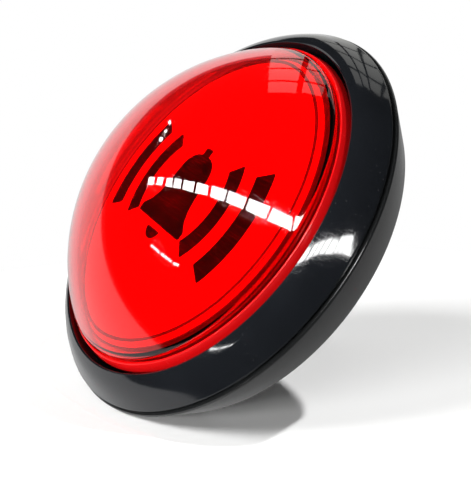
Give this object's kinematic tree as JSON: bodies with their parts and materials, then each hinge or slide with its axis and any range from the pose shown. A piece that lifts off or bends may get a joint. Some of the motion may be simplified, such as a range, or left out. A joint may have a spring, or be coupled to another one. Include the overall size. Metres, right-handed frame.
{
  "type": "illuminated dome push button",
  "caption": "Illuminated dome push button for quiz games: clear red dome in a glossy black bezel, threaded barrel with nut, lamp holder and snap-action switch.",
  "frame": {"origin": "centre of the panel hole, on the plane where the underside of the base rests on the panel", "axes": "+Z along the button axis out of the dome, against the direction of pressing; X along the length of the switch, with the lever pivot on the +X side"},
  "size_m": [0.1, 0.1, 0.0793],
  "materials": {
    "black_gloss": "gloss",
    "black_satin": "satin",
    "black_matte": "matte",
    "red_plastic": "satin",
    "red_diffuser": "satin",
    "label_film": "gloss",
    "red_clear": "gloss, clear red",
    "steel": "satin",
    "spring_steel": "satin",
    "brass_tin": "satin",
    "lamp_white": "satin",
    "lamp_clear": "gloss, clear",
    "nut_black": "satin"
  },
  "bodies": {
    "housing": {"base_housing": "black_satin", "bezel_ring": "black_gloss", "bezel_screw_1": "steel", "bezel_screw_2": "steel", "bezel_screw_3": "steel", "bezel_screw_4": "steel", "return_spring": "spring_steel"},
    "button": {"plunger_frame": "red_plastic", "diffuser_disc": "red_diffuser", "label_film": "label_film", "dome_lens": "red_clear"},
    "holder": {"lamp_holder": "black_matte", "led_base": "lamp_white", "led_lens": "lamp_clear", "lamp_terminal_left": "brass_tin", "lamp_terminal_right": "brass_tin", "switch_case": "black_matte", "switch_cover": "black_matte", "terminal_common": "brass_tin", "terminal_normally_open": "brass_tin", "terminal_normally_closed": "brass_tin"},
    "lever": {"switch_lever": "steel"},
    "switch_plunger": {"switch_button": "red_plastic"},
    "blade": {"switch_blade": "brass_tin"},
    "washer": {"nut_washer": "steel"},
    "nut": {"mounting_nut": "nut_black"}
  },
  "joints": [
    {"name": "button_press", "type": "slide", "parent": "housing", "child": "button", "axis": [0, 0, 1], "range_m": [-0.004, 0], "stiffness_N_per_m": 700, "springref_m": 0.003, "deforming": ["return_spring"]},
    {"name": "holder_twist", "type": "hinge", "parent": "housing", "child": "holder", "pos_m": [0, 0, -0.0216], "axis": [0, 0, 1], "range_deg": [0, 30]},
    {"name": "lever_swing", "type": "hinge", "parent": "holder", "child": "lever", "pos_m": [0.005, 0, -0.0326], "axis": [0, 1, 0], "range_deg": [-18.17, 0]},
    {"name": "switch_button_slide", "type": "slide", "parent": "holder", "child": "switch_plunger", "axis": [0, 0, 1], "range_m": [-0.0005, 0]},
    {"name": "blade_flex", "type": "hinge", "parent": "holder", "child": "blade", "pos_m": [-0.0019, 0, -0.03612], "axis": [0, 1, 0], "range_deg": [0, 7.17]},
    {"name": "washer_slide", "type": "slide", "parent": "housing", "child": "washer", "axis": [0, 0, 1], "range_m": [-0.0105, 0.004]},
    {"name": "nut_spin", "type": "hinge", "parent": "washer", "child": "nut", "pos_m": [0, 0, -0.0094], "axis": [0, 0, 1], "range_deg": [-1890.5, 720.5]}
  ],
  "couplings": [
    {"joint": "lever_swing", "follows": "button_press", "rad_per_m": 79.206},
    {"joint": "switch_button_slide", "follows": "button_press", "ratio": 0.125},
    {"joint": "blade_flex", "follows": "button_press", "rad_per_m": -31.25},
    {"joint": "nut_spin", "follows": "washer_slide", "rad_per_m": 3141.6}
  ]
}
